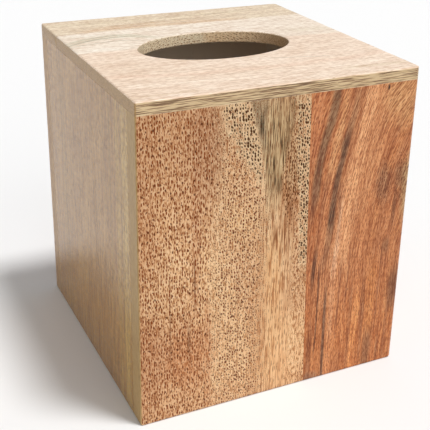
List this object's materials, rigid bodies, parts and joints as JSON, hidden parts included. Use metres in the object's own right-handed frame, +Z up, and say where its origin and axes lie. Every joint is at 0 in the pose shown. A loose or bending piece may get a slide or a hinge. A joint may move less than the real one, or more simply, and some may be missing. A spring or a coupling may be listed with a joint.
{
  "type": "tissue box cover",
  "caption": "Slip-over cube tissue box cover of glued hardwood staves, open underneath, with an oval opening in its overlaid top board.",
  "frame": {"origin": "middle of the plane that the foot rests on, under the middle of the cover", "axes": "+Z up along the walls, the pictured front wall faces -Y, +X to the right seen from the front"},
  "size_m": [0.14, 0.142, 0.158],
  "materials": {
    "pale_top_wood": "satin, sanded, open pores",
    "khaki_top_wood": "satin, sanded, open pores",
    "tan_pored_wood": "satin, sanded, open dark pores",
    "red_streaked_wood": "satin, sanded, dark mineral streaks",
    "grey_tan_wood": "satin, sanded, open pores",
    "brown_tan_wood": "satin, sanded, open pores"
  },
  "bodies": {
    "root": {"top_board_front_stave": "pale_top_wood", "top_board_back_stave": "khaki_top_wood", "front_wall_left_stave": "tan_pored_wood", "front_wall_right_stave": "red_streaked_wood", "back_wall_left_stave": "tan_pored_wood", "back_wall_right_stave": "red_streaked_wood", "left_wall_front_stave": "grey_tan_wood", "left_wall_back_stave": "grey_tan_wood", "right_wall_front_stave": "tan_pored_wood", "right_wall_back_stave": "brown_tan_wood"}
  },
  "joints": []
}
